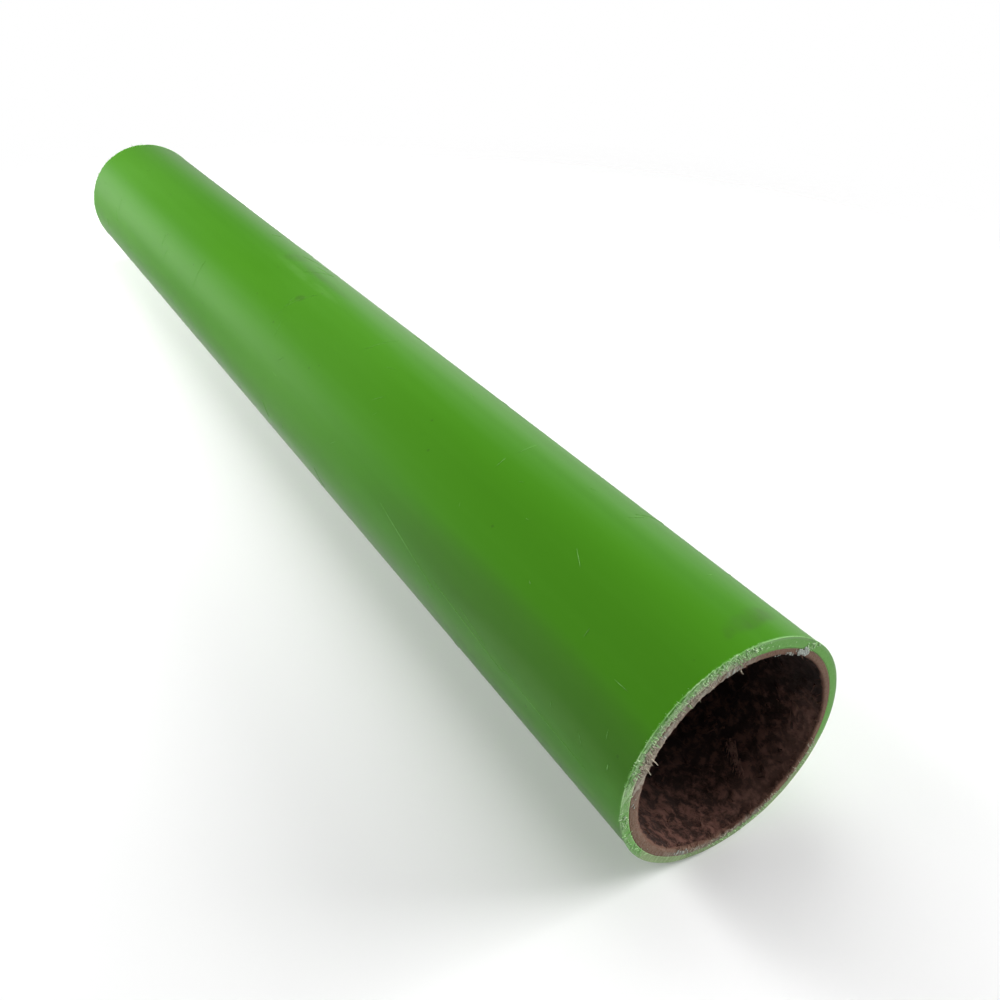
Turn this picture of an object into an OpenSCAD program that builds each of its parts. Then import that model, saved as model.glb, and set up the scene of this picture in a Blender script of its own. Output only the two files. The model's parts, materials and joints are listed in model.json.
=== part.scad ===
// Tree guard tube: a stiff round tube with a smooth green skin over a brown, fibre-filled core.
// It lies on its side with its axis along Y. The origin is on the ground under its middle.

/* [Tube] */
// Outside diameter of the tube
outer_d = 75; // [50:1:150]
// Length from one sawn end to the other
tube_l = 600; // [300:10:1200]

/* [Layers] */
// Thickness of the smooth green outer skin
skin_t = 2.4; // [1:0.1:4]
// Thickness of the brown fibre-filled core
core_t = 2.7; // [1:0.1:6]

/* [Sawn ends] */
// Bevel scraped along the skin's outer edge at each end
edge_bevel = 0.6; // [0.2:0.1:0.9]
// Width of the broken edge round the mouth of the bore at each end
mouth_break = 0.4; // [0.1:0.1:0.8]

/* [Hidden] */
$fn = 120;
outer_r = outer_d / 2;
seam_r = outer_r - skin_t;
bore_r = seam_r - core_t;
half_l = tube_l / 2;

// Lays a shape that was turned about Z on the ground, with its axis along Y
module lay_on_ground() {
    translate([0, 0, outer_r])
        rotate([90, 0, 0])
            children();
}

// Smooth skin, flush with the core at both ends, its outer edges bevelled
module outer_skin() {
    color("forestgreen")
        lay_on_ground()
            rotate_extrude()
                polygon([
                    [seam_r, -half_l],
                    [outer_r - edge_bevel, -half_l],
                    [outer_r, -half_l + edge_bevel],
                    [outer_r, half_l - edge_bevel],
                    [outer_r - edge_bevel, half_l],
                    [seam_r, half_l]
                ]);
}

// Rough core that carries the load, open right through, with the edge of each mouth broken
module fibre_core() {
    color("saddlebrown")
        lay_on_ground()
            rotate_extrude()
                polygon([
                    [bore_r + mouth_break, -half_l],
                    [seam_r, -half_l],
                    [seam_r, half_l],
                    [bore_r + mouth_break, half_l],
                    [bore_r, half_l - mouth_break],
                    [bore_r, -half_l + mouth_break]
                ]);
}

outer_skin();
fibre_core();
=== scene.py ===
"""A tree guard tube: a smooth green plastic skin over a rough brown fibre core, sawn off at both ends.

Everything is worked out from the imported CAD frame. A place round the tube is an angle from the top,
positive towards +X. A place along it is a distance from one of its sawn ends.
"""

import json
import math
import random

import bpy
import numpy as np
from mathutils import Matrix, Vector, noise


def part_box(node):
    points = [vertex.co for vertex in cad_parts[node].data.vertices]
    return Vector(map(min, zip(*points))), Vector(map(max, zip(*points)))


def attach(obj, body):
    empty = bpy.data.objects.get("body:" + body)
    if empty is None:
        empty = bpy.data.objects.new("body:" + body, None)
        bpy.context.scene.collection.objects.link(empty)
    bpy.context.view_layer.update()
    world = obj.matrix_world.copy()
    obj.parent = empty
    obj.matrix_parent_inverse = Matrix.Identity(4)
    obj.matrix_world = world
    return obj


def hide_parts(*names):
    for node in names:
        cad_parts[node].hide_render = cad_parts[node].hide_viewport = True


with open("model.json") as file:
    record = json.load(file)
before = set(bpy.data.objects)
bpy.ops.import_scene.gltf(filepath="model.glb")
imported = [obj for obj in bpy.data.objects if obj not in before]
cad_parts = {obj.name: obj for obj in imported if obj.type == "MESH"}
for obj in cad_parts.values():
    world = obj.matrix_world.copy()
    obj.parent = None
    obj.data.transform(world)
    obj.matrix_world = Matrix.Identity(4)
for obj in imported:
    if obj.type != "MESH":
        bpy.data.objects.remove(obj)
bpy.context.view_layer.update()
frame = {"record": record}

MM = 0.001

# ---------------------------------------------------------------- sizes from the frame
skin_low, skin_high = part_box("outer_skin")
core_low, core_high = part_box("fibre_core")
bore_mount = next(m for m in frame["record"]["mounts"] if m["name"] == "bore")
OUTER_R = (skin_high.z - skin_low.z) / 2
SEAM_R = (core_high.z - core_low.z) / 2
BORE_R = bore_mount["dims"]["r_mm"] * MM
HALF_L = (skin_high.y - skin_low.y) / 2
LENGTH_MM = round(2 * HALF_L / MM)
AXIS_Z = (skin_high.z + skin_low.z) / 2

# The wall is a little thicker on one side, as extruded pipe is: (shift, the angle it shifts towards)
SEAM_SHIFT = (0.55 * MM, math.radians(175))
BORE_SHIFT = (1.05 * MM, math.radians(138))

# The two sawn ends, as the sign of Y, and how badly the skin is torn at each
FRONT, REAR = -1, 1
TORN_SHARE = {FRONT: 1.0, REAR: 0.6}

# The saw's strokes ran across the end at this angle. Depths are in millimetres. A score is SCORE_STRETCH
# times as long as it is wide, and the clean side of the cut shows only CLEAN_SHARE of the scores and grain.
SAW_ANGLE = math.radians(-40)
SCORE_DEPTH = 0.12
GRAIN_DEPTH = 0.07
SCORE_STRETCH = 10
CLEAN_SHARE = 0.3

# The sawn faces and the wall lie this far inside the CAD's, which leaves room for the roughness on them
SKIN_FACE_INSET = 0.1 * MM
CORE_FACE_INSET = 0.12 * MM
WALL_INSET = 0.05 * MM

# Zones round the tube: (centre, half width, softness) in degrees. The saw tore the skin where it came out of
# the wall, and dragged fibres over the lower side. A SHAPE is for the mesh, a COLOR for its material.
TORN_SHAPE = (-36, 40, 12)
TORN_COLOR = (-43, 28, 24)
DRAGGED_SHAPE = (165, 50, 12)
DRAGGED_COLOR = (172, 58, 8)
THICK_SPOT = (6, 20, 16)
FRAYED_MOUTH = (150, 50, 30)
ON_FLOOR = (180, 14, 16)

# How finely the meshes are cut: points round the tube, and rings over a sawn face or the skin's worn edge
SKIN_COLUMNS = 720
CORE_COLUMNS = 448
SKIN_FACE_RINGS = 8
SKIN_EDGE_RINGS = 5
CORE_FACE_RINGS = 9

# Noise: how each octave falls off, how much finer it is than the last, and how far apart two seeds lie
OCTAVE_FALL = 0.9
OCTAVE_GROWTH = 2.1
SEED_STEP = 17.3


def window(angle, centre, half_width, soft):
    """1 within half_width degrees of centre, falling to 0 over soft degrees more. angle is in radians."""
    away = np.abs((np.degrees(angle) - centre + 180) % 360 - 180)
    t = np.clip((half_width + soft - away) / soft, 0, 1)
    return t * t * (3 - 2 * t)


def noise_at(x, y, z, grain, octaves=3, seed=0):
    """Fractal noise, about -1 to 1, at arrays of points. grain is the size of its largest lumps."""
    x, y, z = np.broadcast_arrays(x, y, z)
    points = np.stack([x, y, z], -1).reshape(-1, 3) / grain + seed * SEED_STEP
    values = [noise.fractal(Vector(p), OCTAVE_FALL, OCTAVE_GROWTH, octaves) for p in points]
    return np.array(values).reshape(x.shape)


def seam_radius(angle):
    """Where the skin meets the core, from the tube's axis."""
    thick_spot = 0.55 * MM * window(angle, *THICK_SPOT)
    return SEAM_R + SEAM_SHIFT[0] * np.cos(angle - SEAM_SHIFT[1]) - thick_spot


def bore_radius(angle):
    """The bore's mean radius, from the tube's axis."""
    return BORE_R + BORE_SHIFT[0] * np.cos(angle - BORE_SHIFT[1])


def round_tube(radius, angle):
    """x and z of points that far from the axis, at that angle from the top."""
    return radius * np.sin(angle), AXIS_Z + radius * np.cos(angle)


def saw_marks(radius, angle, end):
    """How far the sawn face is cut away, in metres: long scores along the saw's stroke, and some grain."""
    x, z = radius * np.sin(angle), radius * np.cos(angle)
    along = x * math.sin(SAW_ANGLE) + z * math.cos(SAW_ANGLE)
    across = x * math.cos(SAW_ANGLE) - z * math.sin(SAW_ANGLE)
    scores = noise_at(across, along / SCORE_STRETCH, 0, 0.9 * MM, 3, seed=end + 5)
    grain = noise_at(x, z, 0, 0.9 * MM, 2, seed=end + 8)
    share = CLEAN_SHARE + (1 - CLEAN_SHARE) * ragged_window(angle)
    return share * (SCORE_DEPTH * scores + GRAIN_DEPTH * grain) * MM


def burr_window(angle):
    """Where the saw came out of the wall and tore the skin: 1 there, 0 elsewhere."""
    return window(angle, *TORN_SHAPE)


def ragged_window(angle):
    """Where the cut is ragged at all: the torn side, and the lower side that the saw dragged fibres over."""
    return np.maximum(burr_window(angle), window(angle, *DRAGGED_SHAPE))


def ring_places(start, first, growth, widest):
    """Places along Y for rings: start inside each end, first apart there, and wider and wider further in."""
    depths = []
    depth, step = 0.0, first
    while depth < HALF_L - 4 * MM:
        depths.append(depth + start)
        depth += step
        step = min(step * growth, widest)
    return [-HALF_L + d for d in depths] + [HALF_L - d for d in reversed(depths)]


def mesh_object(name, points, faces, material, body="root"):
    """A mesh piece made of points and faces, smooth shaded, that rides on the tube."""
    mesh = bpy.data.meshes.new(name)
    mesh.from_pydata([tuple(p) for p in points], [], [tuple(f) for f in faces])
    mesh.validate()
    for polygon in mesh.polygons:
        polygon.use_smooth = True
    mesh.materials.append(material)
    piece = bpy.data.objects.new(name, mesh)
    bpy.context.scene.collection.objects.link(piece)
    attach(piece, body)
    return piece


def turned_object(name, rings, columns, material):
    """A closed piece made of rings round the tube's axis, each (radii, places along Y), joined in a loop."""
    angles = np.arange(columns) * 2 * math.pi / columns
    points = []
    for radii, places in rings:
        x, z = round_tube(np.broadcast_to(radii, angles.shape), angles)
        points.append(np.stack([x, np.broadcast_to(places, angles.shape), z], -1))
    count = len(rings)
    ring, column = np.meshgrid(np.arange(count), np.arange(columns), indexing="ij")
    next_ring, next_column = (ring + 1) % count, (column + 1) % columns
    corners = [
        ring * columns + column,
        ring * columns + next_column,
        next_ring * columns + next_column,
        next_ring * columns + column,
    ]
    faces = np.stack(corners, -1).reshape(-1, 4)
    return mesh_object(name, np.concatenate(points).tolist(), faces.tolist(), material)


# ---------------------------------------------------------------- the green skin
def skin_end_rings(angles, end):
    """Rings of one sawn end of the skin, from the seam outwards over the face and round the worn edge."""
    face_y = end * HALF_L
    seam = seam_radius(angles)
    jagged = noise_at(OUTER_R * np.sin(angles), end, OUTER_R * np.cos(angles), 0.9 * MM, 3)
    torn = burr_window(angles) * TORN_SHARE[end]
    worn = (0.26 + 0.2 * torn + 0.12 * noise_at(np.sin(angles), end, np.cos(angles), 0.35, 3)) * MM
    off_floor = 1 - window(angles, *ON_FLOOR)
    flare = (0.22 - 0.18 * torn + 0.2 * torn * np.clip(jagged, 0, 1)) * off_floor * MM
    ragged = 0.26 * MM * jagged * torn
    face_edge = OUTER_R - worn
    rings = []
    for share in np.linspace(0, 1, SKIN_FACE_RINGS):
        radii = seam + (face_edge - seam) * share
        rings.append((radii, face_y - end * (saw_marks(radii, angles, end) + SKIN_FACE_INSET)))
    for turn in np.linspace(0.2, 1, SKIN_EDGE_RINGS):
        lift = math.sin(turn * math.pi / 2)
        drop = 1 - math.cos(turn * math.pi / 2)
        radii = face_edge + worn * lift + flare * math.sin(turn * math.pi)
        back = worn * drop - flare * 0.5 * math.sin(turn * math.pi) + SKIN_FACE_INSET
        rings.append((radii + ragged, face_y - end * back))
    return rings


def skin_wall_rings(angles):
    """Rings of the skin's smooth outside, with the faint waves that extrusion leaves."""
    rings = []
    for place in ring_places(1.0 * MM, 0.35 * MM, 1.22, 7 * MM):
        waves = noise_at(np.sin(angles), place / 0.35, np.cos(angles), 0.8, 2)
        ripple = noise_at(OUTER_R * np.sin(angles), place / 12, OUTER_R * np.cos(angles), 5 * MM, 2, 3)
        rings.append((OUTER_R - WALL_INSET + 0.04 * MM * waves + 0.003 * MM * ripple, place))
    return rings


def make_skin(material):
    """The whole green skin: both sawn ends, the wall between them, and the side against the core."""
    angles = np.arange(SKIN_COLUMNS) * 2 * math.pi / SKIN_COLUMNS
    front = skin_end_rings(angles, FRONT)
    rear = skin_end_rings(angles, REAR)
    rings = front + skin_wall_rings(angles) + rear[::-1]
    skin = turned_object("green_skin", rings, SKIN_COLUMNS, material)
    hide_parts("outer_skin")


# ---------------------------------------------------------------- the brown core
def bore_lumps(angles, place):
    """How far the bore's rough wall stands in from its mean radius, in metres."""
    x, z = BORE_R * np.sin(angles), BORE_R * np.cos(angles)
    lumps = noise_at(x, place / 1.2, z, 7 * MM, 2, seed=1)
    grains = noise_at(x, place / 1.2, z, 2.6 * MM, 3, seed=2)
    crumbs = np.abs(noise_at(x, place, z, 1.5 * MM, 2, seed=3))
    return (0.4 * lumps + 0.4 * grains - 0.3 * crumbs) * MM


def core_end_rings(angles, end):
    """Rings of one sawn end of the core, from the seam inwards to the ragged mouth of the bore."""
    face_y = end * HALF_L
    seam = seam_radius(angles)
    ragged = noise_at(BORE_R * np.sin(angles), end, BORE_R * np.cos(angles), 1.6 * MM, 4)
    frayed = 0.25 + 0.75 * window(angles, *FRAYED_MOUTH)
    mouth = bore_radius(angles) + (0.1 - 0.6 * ragged * frayed) * MM
    rings = []
    for share in np.linspace(0, 1, CORE_FACE_RINGS):
        radii = seam - 0.02 * MM + (mouth - seam) * share
        cut = saw_marks(radii, angles, end + 20) * (1 + share)
        near_mouth = max(0.0, share - 0.7) / 0.3
        worn = (0.1 + 0.4 * frayed) * MM * near_mouth
        rings.append((radii, face_y - end * (cut + worn + CORE_FACE_INSET)))
    return rings


def core_bore_rings(angles):
    """Rings of the rough wall of the bore, right through the tube."""
    places = ring_places(0.8 * MM, 0.42 * MM, 1.034, 6.5 * MM)
    mean = bore_radius(angles)
    return [(mean - bore_lumps(angles, place), place) for place in places]


def make_core(material):
    """The whole brown core: both sawn ends, the rough bore between them, and the side against the skin."""
    angles = np.arange(CORE_COLUMNS) * 2 * math.pi / CORE_COLUMNS
    front = core_end_rings(angles, FRONT)
    rear = core_end_rings(angles, REAR)
    rings = front + core_bore_rings(angles) + rear[::-1]
    core = turned_object("brown_core", rings[::-1], CORE_COLUMNS, material)
    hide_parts("fibre_core")


# ---------------------------------------------------------------- what the saw left behind
ONE_WAY, BOTH_WAYS = (0,), (0, math.pi)

# Whiskers on a sawn face: how many, their angles in degrees, their radii, lengths and widths in millimetres,
# their scatter round the saw's stroke in degrees, and the ways along it that they may point
SKIN_WHISKERS = [
    (120, (-74, 4), (35.4, 37.3), (0.8, 2.2), (0.2, 0.4), 9, BOTH_WAYS),
    (24, (-74, -5), (34.0, 35.8), (1.2, 2.4), (0.2, 0.4), 8, BOTH_WAYS),
    (44, (112, 190), (35.8, 37.0), (0.8, 2.0), (0.2, 0.4), 10, ONE_WAY),
    (60, (-130, -70), (35.6, 37.3), (0.6, 1.5), (0.2, 0.35), 60, BOTH_WAYS),
]
DRAGGED_WHISKERS = [
    (50, (110, 200), (34.0, 36.4), (0.9, 2.4), (0.2, 0.4), 12, ONE_WAY),
    (80, (-76, 2), (32.8, 35.6), (0.8, 2.0), (0.2, 0.35), 10, BOTH_WAYS),
]

# Single hairs over the front mouth: angle of the root, its distance from the axis, the angle the hair points
# towards, its length, thickness and curl. Angles are in degrees, distances in millimetres.
LONG_HAIRS = [
    (-6, 32.2, 165, 2.4, 0.5, 0.5),
    (-68, 33.8, 143, 4.0, 0.6, -0.2),
    (-63, 33.6, 138, 4.6, 0.65, -0.2),
    (-71, 34.6, 150, 2.6, 0.5, 0.3),
    (-66, 34.8, 138, 3.0, 0.5, 0.5),
    (-59, 34.0, 140, 2.6, 0.45, -0.5),
    (-62, 35.4, 150, 2.6, 0.5, 0.3),
    (-57, 35.0, 150, 2.4, 0.45, -0.4),
]

# Crumbs on a sawn face: angle and spread in degrees, radii in millimetres, how many, sizes in millimetres
FRONT_DUST = [
    (33, 3.0, (32.4, 33.9), 44, (0.5, 1.1)),
    (37, 3.0, (32.8, 35.0), 60, (0.5, 1.1)),
    (26, 3, (32.1, 32.9), 14, (0.4, 0.8)),
    (18, 3, (31.9, 32.6), 6, (0.3, 0.6)),
    (-156, 4, (33.4, 35.4), 16, (0.5, 1.0)),
    (-52, 2, (32.4, 33.8), 8, (0.3, 0.6)),
    (-10, 4, (32.2, 33.8), 22, (0.3, 0.7)),
    (-88, 3, (33.2, 34.4), 6, (0.3, 0.6)),
    (-25, 40, (32.2, 37), 40, (0.2, 0.45)),
    (165, 60, (34.0, 36.4), 26, (0.2, 0.45)),
]
REAR_DUST = [
    (-40, 20, (32.4, 35.5), 30, (0.3, 0.8)),
    (120, 40, (33.6, 36), 24, (0.3, 0.6)),
]
FRONT_BITS = [
    (-36, 48, (35.0, 37.3), 200, (0.3, 0.7)),
    (150, 50, (34.8, 36.6), 40, (0.3, 0.6)),
    (40, 4, (34.5, 37.2), 40, (0.4, 0.8)),
]
REAR_BITS = [(-48, 60, (35.2, 37.4), 180, (0.3, 0.6))]

# A rounded lump with twelve corners and twenty sides, which every crumb starts from
GOLDEN = (1 + 5 ** 0.5) / 2
LUMP_CORNERS = [
    (-1, GOLDEN, 0), (1, GOLDEN, 0), (-1, -GOLDEN, 0), (1, -GOLDEN, 0),
    (0, -1, GOLDEN), (0, 1, GOLDEN), (0, -1, -GOLDEN), (0, 1, -GOLDEN),
    (GOLDEN, 0, -1), (GOLDEN, 0, 1), (-GOLDEN, 0, -1), (-GOLDEN, 0, 1),
]
LUMP_SIDES = [
    (0, 11, 5), (0, 5, 1), (0, 1, 7), (0, 7, 10), (0, 10, 11), (1, 5, 9), (5, 11, 4),
    (11, 10, 2), (10, 7, 6), (7, 1, 8), (3, 9, 4), (3, 4, 2), (3, 2, 6), (3, 6, 8),
    (3, 8, 9), (4, 9, 5), (2, 4, 11), (6, 2, 10), (8, 6, 7), (9, 8, 1),
]

# Nicks and scores on the skin: angle in degrees, distance from the front mouth and length in millimetres,
# slant from the axis in degrees, width in millimetres
SCRATCHES = [
    (-43.5, 62, 1.4, 20, 0.35),
    (-21, 56, 8, 28, 0.22),
    (-10, 110, 5, 70, 0.22),
    (-77, 34, 2.0, 80, 0.35),
    (-77, 8, 2.2, 85, 0.4),
    (-42, 35, 3, 85, 0.22),
    (22, 64, 9, 84, 0.22),
    (0, 214, 16, 88, 0.2),
    (-78.5, 122, 44, 12, 0.3),
    (-84.5, 80, 44, 6, 0.25),
    (-87.5, 38, 44, 3, 0.25),
    (-78, 20, 4, 50, 0.25),
    (-66, 12, 3, 75, 0.25),
]
# A scratch's section: (side, height above the skin in millimetres) of its corners
SCRATCH_SECTION = [(-1, 0.01), (0, 0.05), (1, 0.01), (0, -0.15)]


def end_name(end):
    return "front" if end == FRONT else "rear"


def face_point(angle, radius, end, lift=0.0):
    """A point on a sawn face. angle is in degrees, lift is how far it stands out of the face."""
    x, z = round_tube(radius, math.radians(angle))
    return Vector((x, end * (HALF_L + lift), z))


def strand(start, heading, length, bend, joints=5):
    """Points along a short fibre that starts along heading and curls by bend over its length."""
    points = [start]
    direction = heading.normalized()
    for _ in range(joints):
        direction = (direction + bend / joints).normalized()
        points.append(points[-1] + direction * (length / joints))
    return points


def closed_tubes(name, tubes, material):
    """One piece made of many closed tubes. A tube is a list of rings, all with the same number of points."""
    vertices, faces = [], []
    for rings in tubes:
        first, sides = len(vertices), len(rings[0])
        for ring in rings:
            vertices += ring
        for i in range(len(rings) - 1):
            for k in range(sides):
                a, b = first + i * sides + k, first + i * sides + (k + 1) % sides
                faces.append((a, b, b + sides, a + sides))
        last = len(vertices) - sides
        faces.append(tuple(first + k for k in reversed(range(sides))))
        faces.append(tuple(last + k for k in range(sides)))
    return mesh_object(name, vertices, faces, material)


def tapered_tubes(name, strands, material, sides=5):
    """One piece made of many fibres. Each strand is (points, thickness at its root)."""
    turns = [2 * math.pi * k / sides for k in range(sides)]
    tubes = []
    for points, thickness in strands:
        rings = []
        for i, point in enumerate(points):
            ahead = points[min(i + 1, len(points) - 1)] - points[max(i - 1, 0)]
            side = ahead.orthogonal().normalized()
            other = ahead.normalized().cross(side)
            half = thickness / 2 * (1 - 0.75 * i / (len(points) - 1))
            rings.append([point + (side * math.cos(t) + other * math.sin(t)) * half for t in turns])
        tubes.append(rings)
    return closed_tubes(name, tubes, material)


def whiskers(rng, end, count, angles, radii, lengths, widths, scatter, ways):
    """Torn fibres on a sawn face, dragged along the saw's stroke. SKIN_WHISKERS says what the values are."""
    found = []
    for _ in range(count):
        start = face_point(rng.uniform(*angles), rng.uniform(*radii) * MM, end, 0.02 * MM)
        stroke = SAW_ANGLE + math.radians(rng.gauss(0, scatter)) + rng.choice(ways)
        heading = Vector((math.sin(stroke), end * rng.uniform(-0.02, 0.12), math.cos(stroke)))
        curl = Vector((rng.gauss(0, 0.15), 0, rng.gauss(0, 0.15)))
        path = strand(start, heading, rng.uniform(*lengths) * MM, curl)
        found.append((path, rng.uniform(*widths) * MM))
    return found


def edge_fuzz(rng, end, count, angles, lengths):
    """Short fibres that stand out from the skin's outer edge, across the cut and back along the wall."""
    found = []
    for _ in range(count):
        angle = rng.uniform(*angles)
        start = face_point(angle, OUTER_R - 0.35 * MM, end, -rng.uniform(0.1, 0.9) * MM)
        outwards = (start - face_point(angle, 0, end)).normalized()
        sideways = rng.gauss(0, 0.7) * outwards.cross(Vector((0, 1, 0)))
        heading = outwards * 0.6 + sideways + Vector((0, -end * rng.uniform(-0.3, 0.9), 0))
        curl = Vector([rng.gauss(0, 0.5) for _ in range(3)])
        path = strand(start, heading, rng.uniform(*lengths) * MM, curl)
        found.append((path, rng.uniform(0.2, 0.35) * MM))
    return found


def make_skin_burr(end, material):
    """Pale torn whiskers where the saw broke out through the skin."""
    rng = random.Random(11 + end)
    found = []
    for count, *ranges in SKIN_WHISKERS:
        found += whiskers(rng, end, int(count * TORN_SHARE[end]), *ranges)
    found += edge_fuzz(rng, end, int(90 * TORN_SHARE[end]), (-110, 6), (0.3, 0.8))
    piece = tapered_tubes("skin_burr_" + end_name(end), found, material)


def make_core_fray(end, material):
    """Brown fibres that stand ragged round the mouth of the bore and across the cut."""
    rng = random.Random(31 + end)
    found = []
    for _ in range(420):
        angle = rng.uniform(0, 360) if rng.random() < 0.1 else 152 + rng.gauss(0, 30)
        edge = float(bore_radius(math.radians(angle)))
        depth = -rng.uniform(0.1, 1.4) * MM
        start = face_point(angle, edge + rng.uniform(0.0, 1.3) * MM, end, depth)
        heading = (face_point(angle, 0, end, depth) - start).normalized()
        heading += Vector([rng.gauss(0, 0.4) for _ in range(3)])
        heading.y = -end * rng.uniform(-0.2, 0.9)
        curl = Vector([rng.gauss(0, 0.5) for _ in range(3)])
        path = strand(start, heading, rng.uniform(0.7, 1.9) * MM, curl)
        found.append((path, rng.uniform(0.25, 0.45) * MM))
    piece = tapered_tubes("core_fray_" + end_name(end), found, material)


def make_dragged_fibres(end, material):
    """Tan fibres dragged by the saw over the lower part of the cut, and up on the torn side."""
    rng = random.Random(41 + end)
    found = []
    for values in DRAGGED_WHISKERS:
        found += whiskers(rng, end, *values)
    piece = tapered_tubes("dragged_fibres_" + end_name(end), found, material)


def tuft_hair(rng):
    """One hair of the tuft on the torn side, in the form of LONG_HAIRS."""
    root = (rng.gauss(-64, 3.2), rng.uniform(33.6, 36.4))
    return (*root, rng.gauss(146, 10), rng.uniform(1.6, 3.6), 0.45, rng.uniform(-0.5, 0.5))


def stray_hair(rng):
    """One hair anywhere round the mouth, more or less across it, in the form of LONG_HAIRS."""
    angle = rng.uniform(-180, 180)
    return (angle, 33, angle + 180 + rng.gauss(0, 30), rng.uniform(1.5, 4), 0.5, rng.uniform(-1, 1))


def make_loose_hairs(end, material):
    """Long fibre ends pulled out over the mouth: a tuft at the front, a few strays at the rear."""
    rng = random.Random(51 + end)
    tuft = [tuft_hair(rng) for _ in range(26)]
    strays = [stray_hair(rng) for _ in range(5)]
    hairs = LONG_HAIRS + tuft if end == FRONT else strays
    found = []
    for angle, root, way, length, thickness, curl in hairs:
        start = face_point(angle, root * MM, end, 0.02 * MM)
        heading = Vector((math.sin(math.radians(way)), end * 0.04, math.cos(math.radians(way))))
        sideways = heading.cross(Vector((0, 1, 0)))
        found.append((strand(start, heading, length * MM, sideways * curl, 8), thickness * MM))
    piece = tapered_tubes("loose_hairs_" + end_name(end), found, material, 6)


def crumb(rng, place, size):
    """The corners of a small rounded lump pressed flat on the cut, a little irregular."""
    squash = Vector((rng.uniform(0.7, 1.1), 0.25, rng.uniform(0.7, 1.1)))
    points = []
    for corner in LUMP_CORNERS:
        reach = size / 2 * rng.uniform(0.75, 1.15)
        points.append(place + Vector(corner).normalized() * squash * reach)
    return points


def make_crumbs(name, end, groups, material):
    """Crumbs stuck on a sawn face. See FRONT_DUST for what a group holds."""
    rng = random.Random(name)
    vertices, faces = [], []
    for angle, spread, radii, count, sizes in groups:
        for _ in range(count):
            size = rng.uniform(*sizes) * MM
            at = face_point(rng.gauss(angle, spread / 2), rng.uniform(*radii) * MM, end, size * 0.02)
            faces += [tuple(len(vertices) + i for i in side) for side in LUMP_SIDES]
            vertices += crumb(rng, at, size)
    piece = mesh_object(name, vertices, faces, material)


def make_saw_crumbs(end, pale, torn):
    """White sawdust and pale green bits left on the cut."""
    name = end_name(end)
    dust = FRONT_DUST if end == FRONT else REAR_DUST
    bits = FRONT_BITS if end == FRONT else REAR_BITS
    make_crumbs("saw_dust_" + name, end, dust, pale)
    make_crumbs("torn_bits_" + name, end, bits, torn)


def wall_point(angle, depth, radius):
    """A point at an angle in degrees, a depth from the front end in millimetres and a radius.

    The point is kept at least a millimetre inside both ends.
    """
    x, z = round_tube(radius, math.radians(angle))
    return Vector((x, -HALF_L + min(max(depth, 1), LENGTH_MM - 1) * MM, z))


def bore_strand(rng, angle, depth, reach, turn, stand):
    """A short fibre on the bore's wall. angle and turn are in degrees, the rest in millimetres."""
    path = []
    for i in range(5):
        share = i / 4 - 0.5
        there = angle + turn * share
        edge = float(bore_radius(math.radians(there))) - (stand + rng.uniform(-0.25, 0.25)) * MM
        path.append(wall_point(there, depth + reach * share, edge))
    return path


def make_bore_strands(material):
    """Short clumps of fibre all over the bore's wall, most of them near its mouths."""
    rng = random.Random(71)
    found = []
    for _ in range(600):
        depth = abs(rng.gauss(0, 55)) + 4
        depth = depth if rng.random() < 0.65 else LENGTH_MM - depth
        angle, turn = rng.uniform(0, 360), rng.gauss(0, 5)
        path = bore_strand(rng, angle, depth, rng.uniform(0.8, 2.4), turn, rng.uniform(-0.1, 0.3))
        found.append((path, rng.uniform(0.4, 0.9) * MM))
    piece = tapered_tubes("bore_strands", found, material, 6)


def make_bore_tuft(material):
    """A pale tuft that stands out of the bore's wall near the front mouth."""
    rng = random.Random(77)
    found = []
    for _ in range(80):
        share = rng.random() ** 1.8
        angle = 141.5 + 7 * share + rng.gauss(0, 1.1)
        depth = 19 - 8 * share + rng.gauss(0, 0.8)
        path = bore_strand(rng, angle, depth, -rng.uniform(1, 3), 3.0, rng.uniform(0.3, 1.1) * (1.2 - share))
        found.append((path, rng.uniform(0.3, 0.6) * MM))
    piece = tapered_tubes("bore_tuft", found, material, 6)


def sliver(angle, depth, length, slant, width):
    """Rings of a thin raised sliver on the outside of the skin. See SCRATCHES for what the values are."""
    joints = max(3, int(length / 1.5))
    lean = math.radians(slant)
    rings = []
    for i in range(joints + 1):
        share = i / joints - 0.5
        half = width / 2 * (1 - 4 * share * share) ** 0.5 + 0.01
        ring = []
        for side, height in SCRATCH_SECTION:
            across = length * share * math.sin(lean) + side * half * math.cos(lean)
            along = length * share * math.cos(lean) - side * half * math.sin(lean)
            there = angle + math.degrees(across * MM / OUTER_R)
            ring.append(wall_point(there, depth + along, OUTER_R + height * MM))
        rings.append(ring)
    return rings


def make_scratches(material):
    """Pale nicks and scores on the skin: those of SCRATCHES, and many faint ones anywhere."""
    rng = random.Random(91)
    marks = list(SCRATCHES)
    for _ in range(110):
        length = rng.choice((1.5, 3, 5, 8, 14)) * rng.uniform(0.6, 1.2)
        slant = rng.gauss(0, 35) if rng.random() < 0.6 else rng.gauss(90, 12)
        place = (rng.uniform(-180, 180), rng.uniform(5, LENGTH_MM - 5))
        marks.append((*place, length, slant, rng.uniform(0.1, 0.22)))
    piece = closed_tubes("skin_scratches", [sliver(*mark) for mark in marks], material)


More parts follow.
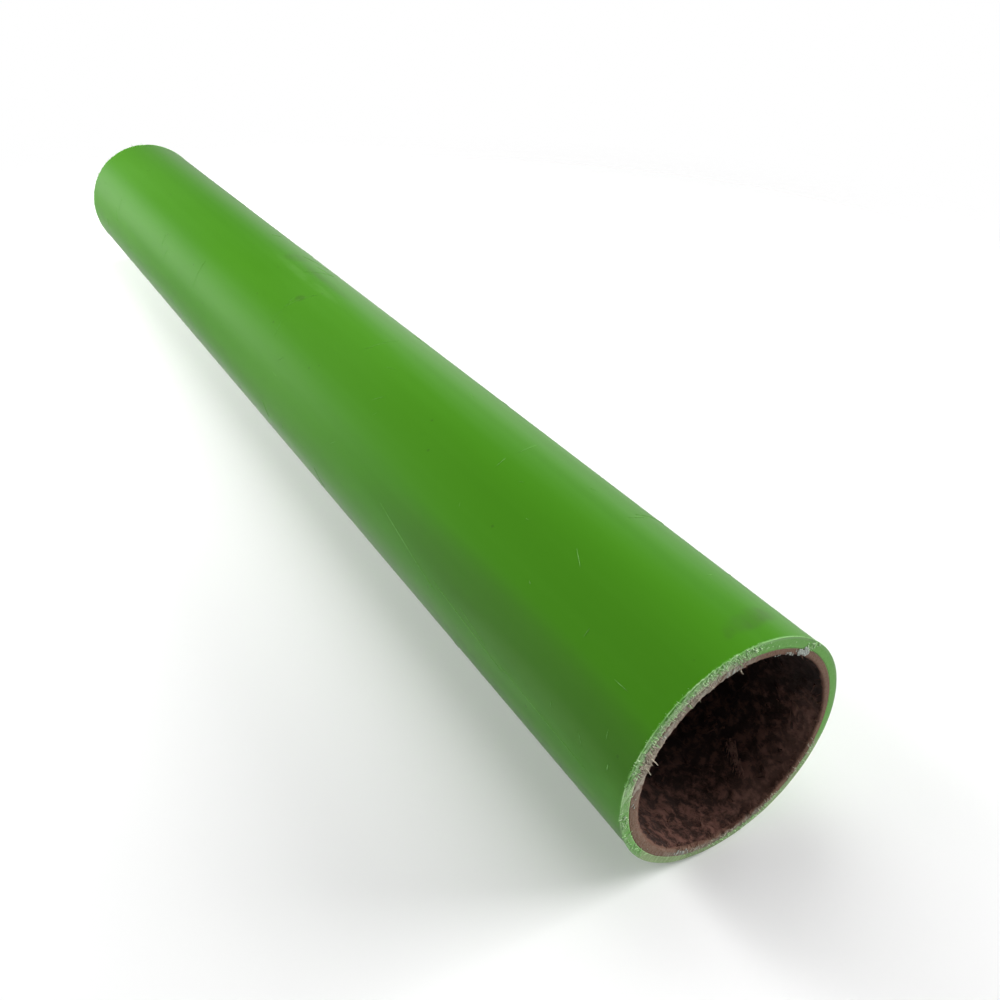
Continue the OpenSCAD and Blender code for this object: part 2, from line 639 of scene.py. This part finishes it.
# ---------------------------------------------------------------- materials
# Marks on the wall, and one patch of painted shade in the dark list: angle in degrees, then distance from the
# front mouth, half the width round the tube and half the length in millimetres, then how strong and how
# speckled the mark is, from 0 to 1
DARK_MARKS_AND_PAINTED_SHADE = [
    (-5, 8, 5, 3, 0.45, 1),
    (8, 9, 9, 4, 0.45, 1),
    (20, 11, 8, 4, 0.45, 1),
    (15, 332, 8, 8, 0.35, 1),
    (14, 294, 3, 34, 0.3, 0.7),
    (-14, 280, 3, 4, 0.4, 0.6),
    # Painted shade: a broad, smooth darkening of the upper left of the wall near the front mouth
    (-68, 45, 14, 120, 0.38, 0.1),
]
PALE_MARKS = [
    (2.5, 300, 3, 45, 0.13, 1),
    (40, 120, 6, 60, 0.1, 1),
    (-82, 40, 9, 60, 0.1, 1),
]


class Shader:
    """Fills an empty node tree. Most methods add a node and return its output."""

    def __init__(self, tree):
        self.tree = tree
        tree.nodes.clear()

    def node(self, kind, inputs, **settings):
        """A node of that kind. Each input is an output of another node or a constant."""
        made = self.tree.nodes.new(kind)
        for key, value in settings.items():
            setattr(made, key, value)
        for key, value in inputs.items():
            if isinstance(value, bpy.types.NodeSocket):
                self.tree.links.new(value, made.inputs[key])
            else:
                made.inputs[key].default_value = value
        return made

    def math(self, operation, *values):
        return self.node("ShaderNodeMath", dict(enumerate(values)), operation=operation).outputs[0]

    def plus(self, a, b):
        return self.math("ADD", a, b)

    def minus(self, a, b):
        return self.math("SUBTRACT", a, b)

    def times(self, a, b):
        return self.math("MULTIPLY", a, b)

    def between(self, value, low, high):
        """0 where value is at low or below, 1 at high or above, smooth between. low may be above high."""
        made = self.node(
            "ShaderNodeMapRange", {"Value": value, "From Min": low, "From Max": high},
            interpolation_type="SMOOTHSTEP",
        )
        return made.outputs[0]

    def noise(self, vector, scale, detail=3.0, rough=0.5, distortion=0.0):
        inputs = {"Vector": vector, "Scale": scale, "Detail": detail, "Roughness": rough}
        return self.node("ShaderNodeTexNoise", {**inputs, "Distortion": distortion}).outputs["Fac"]

    def specks(self, vector, scale, size):
        """1 inside small round specks, one to a cell of the pattern."""
        cells = self.node("ShaderNodeTexVoronoi", {"Vector": vector, "Scale": scale}).outputs["Distance"]
        return self.between(cells, size, size * 0.6)

    def mix(self, share, a, b):
        """Colour a where share is 0, colour b where it is 1. A colour is an output or (red, green, blue)."""
        a, b = [color if isinstance(color, bpy.types.NodeSocket) else (*color, 1) for color in (a, b)]
        return self.node("ShaderNodeMix", {0: share, 6: a, 7: b}, data_type="RGBA").outputs[2]

    def object_point(self):
        return self.node("ShaderNodeTexCoord", {}).outputs["Object"]

    def stretched(self, x, y, z):
        """The point on the tube with each axis multiplied. A pattern runs long where the number is small."""
        return self.node("ShaderNodeMapping", {"Vector": self.point, "Scale": (x, y, z)}).outputs[0]

    def tube_coordinates(self):
        """Sets the point and where on the tube it is.

        turn and angle are its angle from the top, in radians and in degrees. stroke is the point turned to
        the saw's stroke and stretched along it, for the streaks on the cut.
        """
        self.point = self.object_point()
        x, y, z = self.node("ShaderNodeSeparateXYZ", {"Vector": self.point}).outputs
        up = self.minus(z, AXIS_Z)
        self.turn = self.math("ARCTAN2", x, up)
        self.angle = self.math("DEGREES", self.turn)
        squares = self.plus(self.math("POWER", x, 2.0), self.math("POWER", up, 2.0))
        self.radius = self.math("POWER", squares, 0.5)
        self.from_end = self.minus(HALF_L, self.math("ABSOLUTE", y))
        self.from_mouth = self.plus(HALF_L, y)
        turned = self.node(
            "ShaderNodeVectorRotate", {"Vector": self.point, "Center": (0, 0, AXIS_Z), "Angle": SAW_ANGLE},
            rotation_type="Y_AXIS",
        )
        stretched = self.node("ShaderNodeMapping", {"Vector": turned.outputs[0], "Scale": (1, 1, 0.07)})
        self.stroke = stretched.outputs[0]

    def around(self, centre, half_width, soft):
        """1 within half_width degrees of an angle round the tube, falling to 0 over soft degrees more."""
        away = self.math("WRAP", self.minus(self.angle, centre), 180.0, -180.0)
        return self.between(self.math("ABSOLUTE", away), half_width + soft, half_width)

    def finish(self, color, roughness, height, distance, specular):
        """The surface itself. A height of 1 stands out by distance."""
        bump = self.node("ShaderNodeBump", {"Height": height, "Distance": distance, "Strength": 1.0})
        looks = {"Base Color": color, "Roughness": roughness, "Specular IOR Level": specular}
        surface = self.node("ShaderNodeBsdfPrincipled", {**looks, "Normal": bump.outputs[0]})
        self.node("ShaderNodeOutputMaterial", {"Surface": surface.outputs[0]})


def new_material(name):
    """A new material, and the shader that fills it."""
    material = bpy.data.materials.new(name)
    material.use_nodes = True
    return material, Shader(material.node_tree)


def marked(s, color, marks, tint):
    """The color with marks of a tint on it. See DARK_MARKS_AND_PAINTED_SHADE for what a mark holds."""
    grime = s.between(s.noise(s.stretched(1, 0.4, 1), 90, 4, 0.6), 0.32, 0.56)
    for angle, from_mouth, half_width, half_length, strength, speckled in marks:
        around = s.math("DIVIDE", s.minus(s.angle, angle), math.degrees(half_width * MM / OUTER_R))
        along = s.math("DIVIDE", s.minus(s.from_mouth, from_mouth * MM), half_length * MM)
        away = s.plus(s.math("POWER", around, 2.0), s.math("POWER", along, 2.0))
        speckles = s.math("MULTIPLY_ADD", grime, speckled, 1 - speckled)
        share = s.times(s.between(away, 1.0, 0.1), s.times(speckles, strength))
        color = s.mix(share, color, tint)
    return color


def green_wall(s, lines, bloom_and_painted_light):
    """Colour of the skin's smooth outside: faint lines along it, a dusty bloom that also paints the far part
    paler as painted light, marks and specks, and a patch of painted shade on the upper left near the front
    mouth.
    """
    cloud = s.noise(s.stretched(1, 0.12, 1), 30, 3)
    wall = s.mix(s.between(cloud, 0.3, 0.7), (0.051, 0.208, 0.008), (0.061, 0.232, 0.011))
    wall = s.mix(s.times(s.between(lines, 0.35, 0.7), 0.04), wall, (0.12, 0.36, 0.045))
    wall = s.mix(s.times(bloom_and_painted_light, 0.08), wall, (0.22, 0.38, 0.15))
    # Dark marks, and the patch of painted shade on the upper left near the front mouth
    wall = marked(s, wall, DARK_MARKS_AND_PAINTED_SHADE, (0.055, 0.115, 0.025))
    wall = marked(s, wall, PALE_MARKS, (0.20, 0.42, 0.12))
    dark = s.specks(s.point, 70, 0.05)
    return s.mix(s.times(dark, 0.5), wall, (0.04, 0.10, 0.015))


def green_cut(s, streak, torn_side, dragged_side):
    """Colour of the skin's sawn face: clean, but torn pale on one side and dragged over on the lower side."""
    fleck = s.noise(s.point, 1300, 3, 0.7)
    clean = s.mix(s.between(fleck, 0.3, 0.7), (0.165, 0.43, 0.090), (0.205, 0.475, 0.120))
    pale_edge = s.between(s.radius, OUTER_R - 0.9 * MM, OUTER_R - 0.2 * MM)
    clean = s.mix(pale_edge, clean, (0.24, 0.47, 0.17))
    mottled = s.times(s.around(-100, 30, 14), s.between(s.noise(s.point, 520, 4, 0.75), 0.42, 0.62))
    clean = s.mix(s.times(mottled, 0.6), clean, (0.30, 0.47, 0.23))
    torn = s.mix(s.between(streak, 0.38, 0.66), (0.22, 0.52, 0.13), (0.60, 0.80, 0.48))
    tan = s.mix(s.between(streak, 0.35, 0.65), (0.36, 0.37, 0.25), (0.62, 0.63, 0.46))
    inner = s.between(s.plus(s.radius, s.times(streak, 3.4 * MM)), OUTER_R + 0.3 * MM, OUTER_R - 0.3 * MM)
    torn = s.mix(s.times(inner, 0.85), torn, tan)
    bare_edge = s.between(s.radius, OUTER_R - 0.6 * MM, OUTER_R - 0.2 * MM)
    bare_edge = s.times(bare_edge, s.between(streak, 0.58, 0.42))
    torn = s.mix(s.times(bare_edge, 0.75), torn, (0.11, 0.32, 0.05))
    olive = s.mix(s.between(streak, 0.3, 0.7), (0.25, 0.36, 0.16), (0.38, 0.50, 0.27))
    return s.mix(dragged_side, s.mix(torn_side, clean, torn), olive)


def green_plastic():
    """Smooth green skin: glossy on the wall, rough where it was sawn or scuffed."""
    material, s = new_material("green_plastic")
    s.tube_coordinates()
    lines = s.noise(s.stretched(1, 0.004, 1), 300, 1)
    # The bloom is dusty patches and also painted light: it is kept off the first 90 mm from the front mouth
    # and is full from 230 mm on, so the far part is painted paler.
    bloom_and_painted_light = s.math("POWER", s.between(s.noise(s.stretched(1, 0.2, 1), 26, 2, 0.5), 0.2, 0.85), 2.0)
    bloom_and_painted_light = s.times(bloom_and_painted_light, s.between(s.from_mouth, 90 * MM, 230 * MM))
    streak = s.noise(s.stroke, 1100, 4, 0.65)
    torn_side = s.around(*TORN_COLOR)
    dragged_side = s.around(*DRAGGED_COLOR)
    cut = s.between(s.from_end, 0.75 * MM, 0.3 * MM)
    scuff_width = s.times(s.between(s.noise(s.point, 420, 4, 0.7), 0.35, 0.75), 1.4 * MM)
    scuffed = s.between(s.minus(s.from_end, scuff_width), 0.1 * MM, -0.4 * MM)
    wall = s.mix(s.times(scuffed, 0.35), green_wall(s, lines, bloom_and_painted_light), (0.22, 0.42, 0.15))
    color = s.mix(cut, wall, green_cut(s, streak, torn_side, dragged_side))
    rough = s.plus(0.28, s.times(bloom_and_painted_light, 0.05))
    rough = s.math("MAXIMUM", rough, s.times(s.math("MAXIMUM", cut, scuffed), 0.72))
    height = s.plus(s.times(lines, 0.08), s.times(s.noise(s.point, 1500, 3), 0.05))
    ragged = s.plus(0.15, s.math("MAXIMUM", torn_side, dragged_side))
    height = s.plus(height, s.times(s.times(streak, cut), s.times(ragged, 4.0)))
    s.finish(color, rough, height, 0.05 * MM, 0.45)
    return material


def brown_bore(s, lumpy, grains):
    """Colour of the bore's wall: dark crumbly fibre, with painted light on the lower side just inside the
    front mouth, where it is paler and has a paler reddish patch, and painted shade darkening its upper side.
    """
    deep = s.mix(lumpy, (0.040, 0.028, 0.025), (0.145, 0.078, 0.062))
    # Painted light: the pale copy is used only on the lower right just inside the front mouth, where light
    # falls into the bore.
    pale = s.mix(lumpy, (0.040, 0.024, 0.020), (0.185, 0.092, 0.073))
    pale = s.mix(s.times(s.between(grains, 0.48, 0.7), 0.4), pale, (0.20, 0.105, 0.08))
    near_mouth = s.between(s.from_mouth, 30 * MM, 6 * MM)
    bore = s.mix(s.times(near_mouth, s.around(148, 44, 42)), deep, pale)
    # Painted shade: the upper side of the bore is darkened along its whole length.
    painted_shade_on_top = s.minus(1.0, s.around(185, 75, 35))
    bore = s.mix(s.times(painted_shade_on_top, 0.75), bore, (0.040, 0.028, 0.025))
    # Painted light: the patch named dust is a paler reddish brown on the lower right just inside the front
    # mouth, where light falls in.
    dust = s.times(s.between(s.from_mouth, 14 * MM, 2 * MM), s.around(128, 24, 22))
    dust = s.times(dust, s.plus(0.45, s.times(lumpy, 0.5)))
    return s.mix(dust, bore, (0.34, 0.19, 0.15))


def brown_cut(s):
    """Colour of the core's sawn ring: granular, with grey and tan fibre dragged along the saw's stroke."""
    streak = s.noise(s.stroke, 1000, 4, 0.7)
    dragged = s.between(streak, 0.25, 0.5)
    dither = s.noise(s.point, 1700, 3, 0.7)
    ring = s.mix(s.between(dither, 0.35, 0.68), (0.212, 0.130, 0.092), (0.272, 0.176, 0.130))
    dots = s.times(s.around(-118, 38, 10), s.between(dither, 0.52, 0.6))
    ring = s.mix(s.times(dots, 0.5), ring, (0.26, 0.23, 0.175))
    grey = s.mix(s.between(streak, 0.35, 0.66), (0.25, 0.19, 0.15), (0.48, 0.44, 0.36))
    ring = s.mix(s.times(s.around(-42, 34, 18), dragged), ring, grey)
    ring = s.mix(s.times(s.between(dither, 0.58, 0.66), 0.6), ring, (0.18, 0.095, 0.07))
    tan = s.mix(s.between(streak, 0.4, 0.66), (0.25, 0.20, 0.155), (0.44, 0.41, 0.34))
    low_cut = s.times(s.around(182, 24, 16), s.between(s.radius, SEAM_R - 1.5 * MM, SEAM_R - 0.5 * MM))
    ring = s.mix(s.times(low_cut, dragged), ring, tan)
    swing = s.math("COSINE", s.minus(s.turn, BORE_SHIFT[1]))
    bore_edge = s.plus(BORE_R, s.times(BORE_SHIFT[0], swing))
    rim = s.between(s.minus(s.radius, bore_edge), 0.55 * MM, 0.2 * MM)
    return s.mix(s.times(rim, 0.7), ring, (0.16, 0.08, 0.06))


def brown_fibre():
    """Rough fibre-filled core: dark crumbly bore wall, paler granular ring where the saw cut it."""
    material, s = new_material("brown_fibre")
    s.tube_coordinates()
    blotches = s.noise(s.stretched(1, 0.8, 1), 330, 5, 0.68, 0.3)
    grains = s.noise(s.point, 800, 4, 0.7)
    lumpy = s.between(blotches, 0.44, 0.64)
    cut = s.between(s.from_end, 1.3 * MM, 0.5 * MM)
    color = s.mix(cut, brown_bore(s, lumpy, grains), brown_cut(s))
    height = s.plus(blotches, s.times(grains, 0.6))
    s.finish(color, 0.9, height, 0.5 * MM, 0.2)
    return material


def flecked(name, dark, light, grain, roughness):
    """A rough material that varies between two colours in small flecks."""
    material, s = new_material(name)
    fleck = s.noise(s.object_point(), grain, 3, 0.7)
    color = s.mix(s.between(fleck, 0.35, 0.65), dark, light)
    s.finish(color, roughness, fleck, 0.1 * MM, 0.3)
    return material


# ---------------------------------------------------------------- stage, light and camera
# The camera's place is in tube radii from the middle of the front mouth.
CAMERA_FROM_MOUTH = (-3.96, -3.335, 5.347)
CAMERA_HEADING = math.radians(31.07)
CAMERA_PITCH = math.radians(33.0)
CAMERA_LENS = 35.4
# The floor is solid out to the first distance from the middle, and gone at the second.
FLOOR_FADES = (0.36, 0.62)
# The brightest part of the backdrop is in this direction
BRIGHT_PATCH = Vector((-0.41, 0.89, 0.18)).normalized()

LIGHT_SPREAD = math.radians(150)
# Square lights that the gloss does not show: name, place, aim, side and watts
FILLS = [
    ("right_wide", (2.07, 0, 0.75), (0, 0, 0), 1.3, 16.9),
    ("right_key", (0.8, -0.6, 0.5), (0, -0.3, 0.03), 0.5, 5.5),
    ("far_left", (-0.6, 0.8, 0.5), (0, 0.4, 0.03), 0.5, 9.6),
    ("top", (0.1, 0.1, 0.5), (0, 0.05, 0.03), 0.5, 1.3),
    ("left", (-0.6, 0.1, 0.5), (0, 0.05, 0.03), 0.5, 1.3),
    ("front", (0.1, -0.6, 0.5), (0, -0.3, 0.03), 0.5, 0.46),
]


def add_camera():
    data = bpy.data.cameras.new("camera")
    data.sensor_width = 36
    data.lens = CAMERA_LENS
    data.clip_start = 0.01
    camera = bpy.data.objects.new("camera", data)
    bpy.context.scene.collection.objects.link(camera)
    camera.location = Vector((0, -HALF_L, AXIS_Z)) + OUTER_R * Vector(CAMERA_FROM_MOUTH)
    camera.rotation_euler = (math.pi / 2 - CAMERA_PITCH, 0, -CAMERA_HEADING)
    bpy.context.scene.camera = camera


def floor_white(solid_to, gone_at):
    """A pale matt floor that fades out between two distances from its middle."""
    material, s = new_material("floor_white")
    away = s.node("ShaderNodeVectorMath", {0: s.object_point()}, operation="LENGTH").outputs["Value"]
    matte = s.node("ShaderNodeBsdfPrincipled", {"Base Color": (0.93, 0.93, 0.93, 1), "Roughness": 0.9})
    clear = s.node("ShaderNodeBsdfTransparent", {})
    fade = s.between(away, solid_to, gone_at)
    surface = s.node("ShaderNodeMixShader", {0: fade, 1: matte.outputs[0], 2: clear.outputs[0]})
    s.node("ShaderNodeOutputMaterial", {"Surface": surface.outputs[0]})
    return material


def add_floor():
    """A pale floor round the tube that fades into the white backdrop."""
    solid_to, reach = FLOOR_FADES
    mesh = bpy.data.meshes.new("floor")
    corners = [(-reach, -reach, 0), (reach, -reach, 0), (reach, reach, 0), (-reach, reach, 0)]
    mesh.from_pydata(corners, [], [(0, 1, 2, 3)])
    mesh.materials.append(floor_white(solid_to, reach))
    floor = bpy.data.objects.new("floor", mesh)
    floor.location.z = skin_low.z - 0.2 * MM
    bpy.context.scene.collection.objects.link(floor)
    floor.visible_glossy = False


def add_softbox(name, place, aim, side, watts):
    """A square studio light at place that faces aim."""
    data = bpy.data.lights.new(name, "AREA")
    data.shape = "RECTANGLE"
    data.size = side
    data.size_y = side
    data.energy = watts
    data.spread = LIGHT_SPREAD
    light = bpy.data.objects.new(name, data)
    bpy.context.scene.collection.objects.link(light)
    light.location = place
    light.rotation_euler = (Vector(aim) - Vector(place)).to_track_quat("-Z", "Y").to_euler()
    return light


def add_lights():
    """Softboxes: the ones that reflect in the gloss first, then those that only light the tube."""
    add_softbox("back_right", (1.46, 1.46, 0.75), (0, 0, 0), 1.3, 0.9)
    add_softbox("far_strip", (-0.80, 2.3, 0.22), (0, 0.1, 0.08), 0.9, 0.28)
    for values in FILLS:
        fill = add_softbox(*values)
        fill.visible_glossy = False
        fill.data.cycles.use_multiple_importance_sampling = False


def backdrop_glow(s, x, y, height):
    """How bright the low backdrop on two sides is, with a dimmer and a brighter stretch behind the tube."""
    side = s.between(s.plus(x, y), -0.3, 0.3)
    backdrop = s.times(s.times(side, 0.42), s.between(height, 0.24, 0.08))
    backdrop = s.times(backdrop, s.between(height, -0.8, -0.7))
    behind = s.between(y, 0.74, 0.86)
    dim = s.times(s.between(x, -0.12, -0.22), s.between(height, -0.03, -0.13))
    bright = s.times(s.between(x, -0.14, -0.02), s.between(height, 0.0, -0.2))
    change = s.minus(s.times(bright, 0.55), s.times(dim, 0.5))
    return s.times(backdrop, s.plus(1.0, s.times(behind, change)))


def add_world():
    """A dark studio with a pale low backdrop on two sides, which is what the tube's gloss picks up."""
    world = bpy.data.worlds.new("studio")
    world.use_nodes = True
    bpy.context.scene.world = world
    s = Shader(world.node_tree)
    direction = s.node("ShaderNodeTexCoord", {}).outputs["Generated"]
    x, y, height = s.node("ShaderNodeSeparateXYZ", {"Vector": direction}).outputs
    backdrop = backdrop_glow(s, x, y, height)
    ground = s.times(s.between(height, -0.5, -0.7), 0.27)
    towards = s.node("ShaderNodeVectorMath", {0: direction, 1: BRIGHT_PATCH}, operation="DOT_PRODUCT")
    patch = s.times(s.between(towards.outputs["Value"], 0.972, 0.996), 0.28)
    share = s.plus(s.math("MAXIMUM", backdrop, ground), patch)
    glow = s.mix(share, (0.03, 0.03, 0.03), (1, 1, 1))
    camera_ray = s.node("ShaderNodeLightPath", {}).outputs["Is Camera Ray"]
    seen = s.mix(camera_ray, glow, (1, 1, 1))
    surface = s.node("ShaderNodeBackground", {"Color": seen, "Strength": 1.0})
    s.node("ShaderNodeOutputWorld", {"Surface": surface.outputs[0]})


# ---------------------------------------------------------------- the scene
bpy.context.scene.view_settings.view_transform = "Standard"
torn_plastic = flecked("torn_plastic", (0.30, 0.60, 0.20), (0.60, 0.78, 0.50), 700, 0.7)
brown_strands = flecked("brown_strands", (0.13, 0.068, 0.05), (0.26, 0.145, 0.11), 500, 0.9)
bore_fibre = flecked("bore_fibre", (0.055, 0.03, 0.024), (0.16, 0.085, 0.066), 500, 0.9)
tan_fibre = flecked("tan_fibre", (0.36, 0.30, 0.23), (0.58, 0.54, 0.42), 700, 0.85)
pale_tuft = flecked("pale_tuft", (0.20, 0.105, 0.085), (0.36, 0.21, 0.16), 600, 0.9)
sawdust = flecked("sawdust", (0.34, 0.37, 0.33), (0.50, 0.54, 0.49), 900, 0.9)
scuffed_plastic = flecked("scuffed_plastic", (0.11, 0.31, 0.05), (0.18, 0.40, 0.11), 1200, 0.5)
make_skin(green_plastic())
make_core(brown_fibre())
for end in (FRONT, REAR):
    make_skin_burr(end, torn_plastic)
    make_core_fray(end, brown_strands)
    make_dragged_fibres(end, tan_fibre)
    make_loose_hairs(end, tan_fibre)
    make_saw_crumbs(end, sawdust, torn_plastic)
make_bore_strands(bore_fibre)
make_bore_tuft(pale_tuft)
make_scratches(scuffed_plastic)
add_camera()
add_floor()
add_lights()
add_world()
